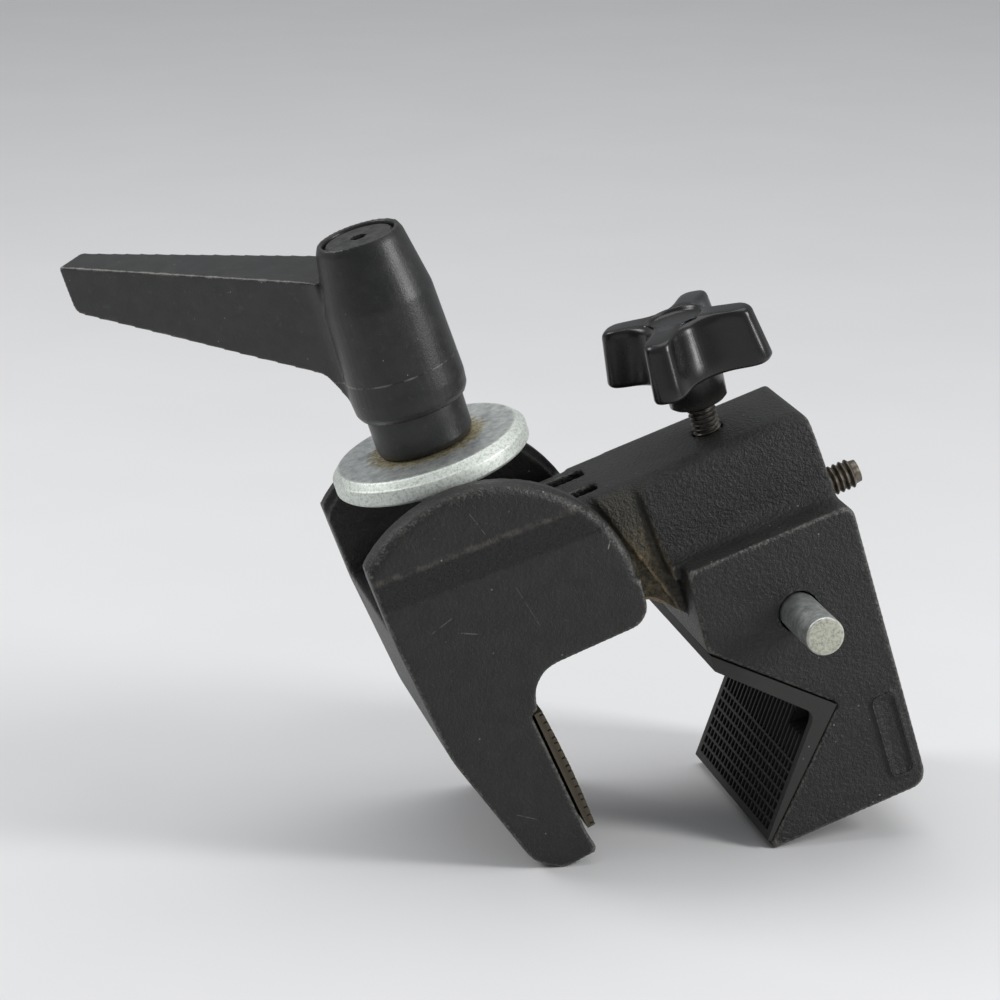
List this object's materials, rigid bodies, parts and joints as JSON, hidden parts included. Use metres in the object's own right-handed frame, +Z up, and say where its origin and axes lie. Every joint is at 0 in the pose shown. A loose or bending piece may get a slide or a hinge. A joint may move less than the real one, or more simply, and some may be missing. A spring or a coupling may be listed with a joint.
{
  "type": "grip clamp",
  "caption": "Lighting grip clamp with a fixed V jaw, a swinging jaw closed by a ratchet lever screw, a hex stud held by a star knob and a sprung safety pin",
  "frame": {"origin": "middle of the bounding box in x and y, on the table that the clamp stands on", "axes": "+X runs along the clamp from the lever's end to the stud's end, -Y is the side with the safety pin's button, +Z is up; the clamp stands leaning on its two jaw tips"},
  "size_m": [0.1678, 0.098, 0.131],
  "materials": {
    "casting": "black textured powder coat on die-cast aluminium, edges rubbed bright",
    "v_pad": "dull black, cross-ribbed",
    "jaw_pad": "brown-black, ribbed, worn",
    "zinc": "dull zinc plate with stains",
    "steel": "dark oiled steel",
    "brown_steel": "browned steel",
    "spring": "plain spring steel",
    "lever": "satin black paint on die-cast metal",
    "knob": "glossy black moulded plastic"
  },
  "bodies": {
    "body": {"fixed_jaw": "casting", "v_pad": "v_pad", "hex_stud": "brown_steel", "barrel_nut": "steel", "pivot_pin": "steel", "pivot_washer_front": "zinc", "pivot_washer_rear": "zinc", "safety_pin_plug": "zinc", "safety_pin_spring": "spring"},
    "swing_jaw": {"moving_jaw": "casting", "jaw_pad": "jaw_pad"},
    "washer": {"pressure_washer": "zinc"},
    "spindle": {"spindle": "steel", "ratchet_hub": "lever", "lever_screw": "brown_steel", "lever_spring": "spring"},
    "handle": {"lever_handle": "lever"},
    "lock_screw": {"lock_screw": "steel"},
    "lock_knob": {"lock_knob": "knob"},
    "safety_pin": {"safety_pin": "zinc"}
  },
  "joints": [
    {"name": "washer_feed", "type": "slide", "parent": "body", "child": "washer", "axis": [0.3007, 0, -0.9537], "range_m": [0, 0.0142]},
    {"name": "lever_turn", "type": "hinge", "parent": "washer", "child": "spindle", "pos_m": [-0.01625, -0.00697, 0.08489], "axis": [0.3007, 0, -0.9537], "range_deg": [0, 2520]},
    {"name": "lever_lift", "type": "slide", "parent": "spindle", "child": "handle", "axis": [-0.3007, 0, 0.9537], "range_m": [0, 0.005], "stiffness_N_per_m": 600, "springref_m": -0.002, "deforming": ["lever_spring"]},
    {"name": "jaw_swing", "type": "hinge", "parent": "body", "child": "swing_jaw", "pos_m": [0.01777, -0.00697, 0.05682], "axis": [0, -1, 0], "range_deg": [0, 32.9]},
    {"name": "lock_knob_advance", "type": "slide", "parent": "body", "child": "lock_screw", "axis": [-0.2907, 0, 0.9568], "range_m": [0, 0.005]},
    {"name": "lock_knob_turn", "type": "hinge", "parent": "lock_screw", "child": "lock_knob", "pos_m": [0.0413, -0.00697, 0.0899], "axis": [-0.2907, 0, 0.9568], "range_deg": [0, 1801]},
    {"name": "safety_pin_push", "type": "slide", "parent": "body", "child": "safety_pin", "axis": [0, 1, 0], "range_m": [0, 0.008], "stiffness_N_per_m": 400, "springref_m": -0.002, "deforming": ["safety_pin_spring"]}
  ],
  "couplings": [
    {"joint": "washer_feed", "follows": "lever_turn", "m_per_rad": 0.00031831},
    {"joint": "jaw_swing", "follows": "lever_turn", "ratio": 0.012966},
    {"joint": "lock_knob_turn", "follows": "lock_knob_advance", "rad_per_m": 6283.2}
  ]
}
